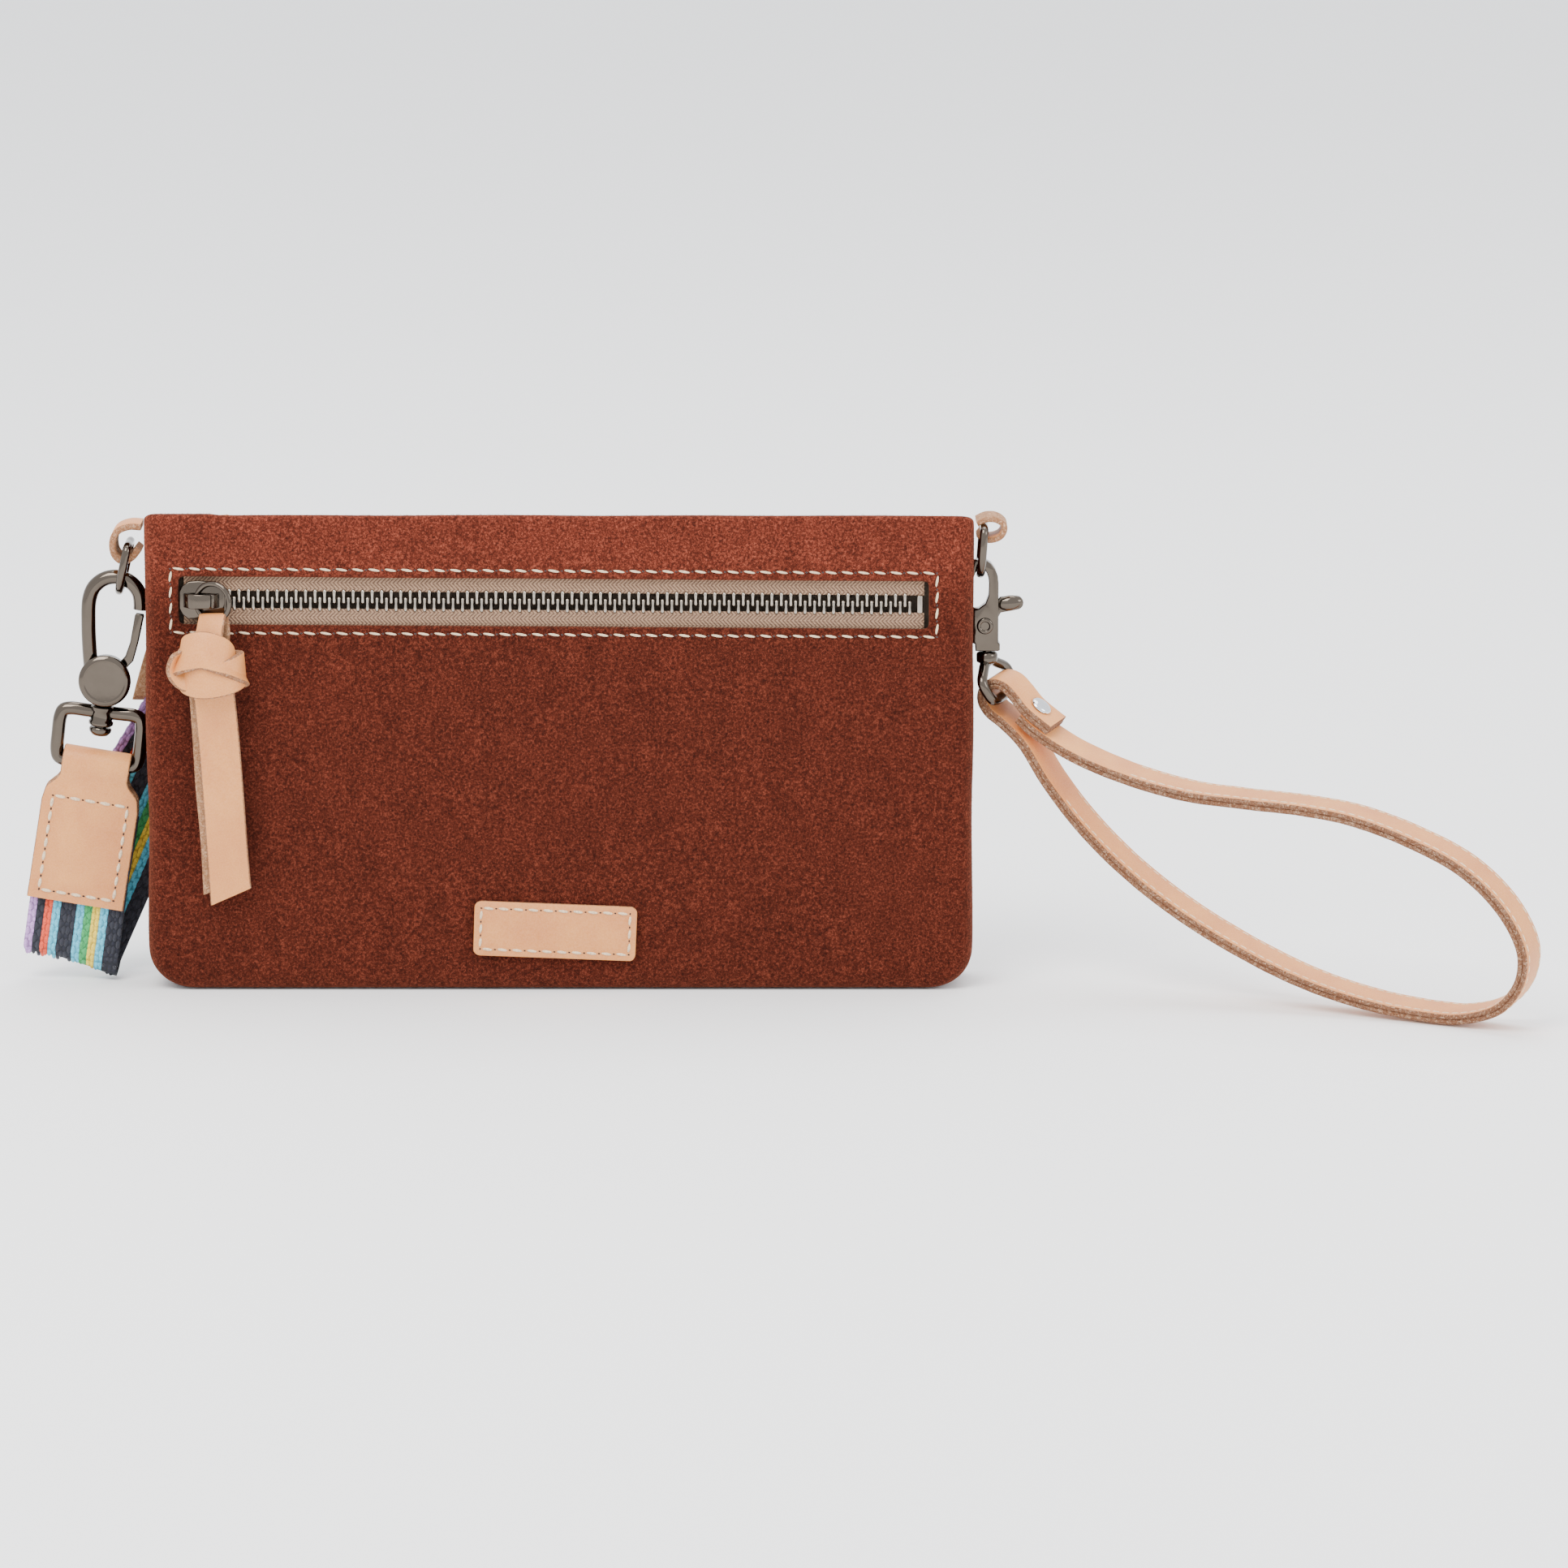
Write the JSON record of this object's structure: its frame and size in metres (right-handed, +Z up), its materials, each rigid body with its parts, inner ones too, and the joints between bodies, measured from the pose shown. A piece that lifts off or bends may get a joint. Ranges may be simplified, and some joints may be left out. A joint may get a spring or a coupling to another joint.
{
  "type": "wristlet wallet",
  "caption": "Suede wristlet wallet with a front zip pocket, top zip, knotted leather pulls, a leather wrist loop on a lobster clasp and a clip-on woven shoulder strap.",
  "frame": {"origin": "middle of the flat bottom, where the bag stands", "axes": "+X along the mouth to the right as seen from the front, +Y to the back, +Z up"},
  "size_m": [0.4391, 0.1186, 0.1395],
  "materials": {
    "suede": "brushed rust-brown suede",
    "lining": "plain woven lining",
    "zip_tape": "taupe herringbone tape",
    "zip_metal": "nickel",
    "gunmetal": "polished dark nickel",
    "leather": "natural vegetable-tanned",
    "webbing": "striped woven webbing",
    "rivet_metal": "polished silver"
  },
  "bodies": {
    "root": {"front_panel": "suede", "back_panel": "suede", "front_pocket_lining": "lining", "main_lining": "lining", "slip_pocket": "lining", "label_patch": "leather", "left_tab": "leather", "right_tab": "leather", "front_zip_upper_top_stop": "zip_metal", "front_zip_lower_top_stop": "zip_metal", "front_zip_bottom_stop": "zip_metal", "top_zip_front_top_stop": "zip_metal", "top_zip_back_top_stop": "zip_metal", "top_zip_bottom_stop": "zip_metal"},
    "front_upper_half": {"front_zip_upper_tape": "zip_tape", "front_zip_upper_teeth": "zip_metal"},
    "front_lower_half": {"front_zip_lower_tape": "zip_tape", "front_zip_lower_teeth": "zip_metal"},
    "front_slider": {"front_zip_slider": "gunmetal"},
    "front_ring": {"front_pull_ring": "gunmetal"},
    "front_tassel": {"front_pull": "leather"},
    "top_front_half": {"top_zip_front_tape": "zip_tape", "top_zip_front_teeth": "zip_metal"},
    "top_back_half": {"top_zip_back_tape": "zip_tape", "top_zip_back_teeth": "zip_metal"},
    "top_slider": {"top_zip_slider": "gunmetal"},
    "top_ring": {"top_pull_ring": "gunmetal"},
    "top_tassel": {"top_pull": "leather"},
    "left_d": {"left_d_ring": "gunmetal"},
    "left_hook": {"left_hook_body": "gunmetal", "left_hook_cap": "gunmetal", "left_gate_spring": "gunmetal", "left_swivel_pin": "gunmetal"},
    "left_latch": {"left_gate": "gunmetal"},
    "left_eye": {"left_ring": "gunmetal"},
    "strap": {"strap_tab": "leather", "webbing": "webbing", "webbing_hank": "webbing", "hank_tie": "leather", "strap_adjuster": "gunmetal", "far_tab": "leather"},
    "far_eye": {"far_ring": "gunmetal"},
    "far_hook": {"far_hook_body": "gunmetal", "far_hook_cap": "gunmetal", "far_gate_spring": "gunmetal", "far_swivel_pin": "gunmetal"},
    "far_latch": {"far_gate": "gunmetal"},
    "right_d": {"right_d_ring": "gunmetal"},
    "clasp": {"clasp_body": "gunmetal", "clasp_rivet": "gunmetal", "clasp_spring": "gunmetal"},
    "clasp_lever": {"clasp_trigger": "gunmetal"},
    "clasp_eye": {"swivel_eye": "gunmetal"},
    "wrist_loop": {"wrist_strap": "leather", "wrist_rivet_cap": "rivet_metal", "wrist_rivet_back": "rivet_metal"}
  },
  "joints": [
    {"name": "front_zip_slide", "type": "slide", "parent": "root", "child": "front_slider", "axis": [1, -0.0003, -0.007], "range_m": [0, 0.19]},
    {"name": "front_zip_upper_part", "type": "slide", "parent": "root", "child": "front_upper_half", "axis": [0.007, 0.0369, 0.9993], "range_m": [0, 0.0036], "deforming": ["front_zip_upper_tape", "front_zip_upper_teeth"]},
    {"name": "front_zip_lower_part", "type": "slide", "parent": "root", "child": "front_lower_half", "axis": [-0.007, -0.0369, -0.9993], "range_m": [0, 0.0036], "deforming": ["front_zip_lower_tape", "front_zip_lower_teeth"]},
    {"name": "front_ring_swing", "type": "hinge", "parent": "front_slider", "child": "front_ring", "pos_m": [-0.1046, -0.01186, 0.11506], "axis": [-0.007, -0.0369, -0.9993], "range_deg": [0, 120]},
    {"name": "front_pull_swing", "type": "hinge", "parent": "front_ring", "child": "front_tassel", "pos_m": [-0.09974, -0.01434, 0.10972], "axis": [-0.9063, 0.4226, -0.0093], "range_deg": [0, 100], "deforming": ["front_pull"]},
    {"name": "top_zip_slide", "type": "slide", "parent": "root", "child": "top_slider", "axis": [1, 0, 0], "range_m": [0, 0.19]},
    {"name": "top_zip_front_part", "type": "slide", "parent": "root", "child": "top_front_half", "axis": [0, -1, 0], "range_m": [0, 0.0036], "deforming": ["top_zip_front_tape", "top_zip_front_teeth"]},
    {"name": "top_zip_back_part", "type": "slide", "parent": "root", "child": "top_back_half", "axis": [0, 1, 0], "range_m": [0, 0.0036], "deforming": ["top_zip_back_tape", "top_zip_back_teeth"]},
    {"name": "top_ring_swing", "type": "hinge", "parent": "top_slider", "child": "top_ring", "pos_m": [-0.1046, 0, 0.13085], "axis": [0, -1, 0], "range_deg": [0, 60]},
    {"name": "top_pull_swing", "type": "hinge", "parent": "top_ring", "child": "top_tassel", "pos_m": [-0.09971, 0.0054, 0.13313], "axis": [0.9063, 0, 0.4226], "range_deg": [0, 75], "deforming": ["top_pull"]},
    {"name": "left_d_ring_swing", "type": "hinge", "parent": "root", "child": "left_d", "pos_m": [-0.12479, 0, 0.12969], "axis": [0, 1, 0], "range_deg": [0, 60]},
    {"name": "left_hook_swing", "type": "hinge", "parent": "left_d", "child": "left_hook", "pos_m": [-0.1282, 0, 0.11993], "axis": [0.9925, 0, -0.1219], "range_deg": [0, 25]},
    {"name": "left_gate_open", "type": "hinge", "parent": "left_hook", "child": "left_latch", "pos_m": [-0.12915, 0, 0.09163], "axis": [0, -1, 0], "range_deg": [0, 28], "stiffness_Nm_per_rad": 0.02},
    {"name": "left_swivel", "type": "hinge", "parent": "left_hook", "child": "left_eye", "pos_m": [-0.1323, 0, 0.0898], "axis": [0.1219, 0, 0.9925], "range_deg": [0, 10]},
    {"name": "strap_swing", "type": "hinge", "parent": "left_eye", "child": "strap", "pos_m": [-0.13537, 0, 0.06484], "axis": [0.9925, 0, -0.1219], "range_deg": [0, 15]},
    {"name": "far_ring_swing", "type": "hinge", "parent": "strap", "child": "far_eye", "pos_m": [0.04605, 0.032, 0.0048], "axis": [0, -1, 0], "range_deg": [0, 70]},
    {"name": "far_swivel", "type": "hinge", "parent": "far_eye", "child": "far_hook", "pos_m": [0.0712, 0.032, 0.0048], "axis": [1, 0, 0], "continuous": true},
    {"name": "far_gate_open", "type": "hinge", "parent": "far_hook", "child": "far_latch", "pos_m": [0.0734, 0.0291, 0.0048], "axis": [0, 0, 1], "range_deg": [0, 28], "stiffness_Nm_per_rad": 0.02},
    {"name": "right_d_ring_swing", "type": "hinge", "parent": "root", "child": "right_d", "pos_m": [0.12288, 0, 0.13497], "axis": [0, -1, 0], "range_deg": [0, 60]},
    {"name": "clasp_tilt", "type": "hinge", "parent": "right_d", "child": "clasp", "pos_m": [0.1221, 0, 0.1242], "axis": [1, 0, 0], "range_deg": [-5, 5]},
    {"name": "clasp_trigger_open", "type": "hinge", "parent": "clasp", "child": "clasp_lever", "pos_m": [0.1233, 0, 0.1059], "axis": [0, 1, 0], "range_deg": [0, 28], "stiffness_Nm_per_rad": 0.02},
    {"name": "eye_swivel", "type": "hinge", "parent": "clasp", "child": "clasp_eye", "pos_m": [0.124, 0, 0.097], "axis": [0, 0, 1], "range_deg": [0, 45]},
    {"name": "wrist_strap_swing", "type": "hinge", "parent": "clasp_eye", "child": "wrist_loop", "pos_m": [0.129, 0, 0.085], "axis": [-0.421, -0.9029, -0.0872], "range_deg": [0, 70]}
  ],
  "couplings": [
    {"joint": "front_zip_upper_part", "follows": "front_zip_slide", "ratio": 0.0184},
    {"joint": "front_zip_lower_part", "follows": "front_zip_slide", "ratio": 0.0184},
    {"joint": "top_zip_front_part", "follows": "top_zip_slide", "ratio": 0.0184},
    {"joint": "top_zip_back_part", "follows": "top_zip_slide", "ratio": 0.0184}
  ]
}
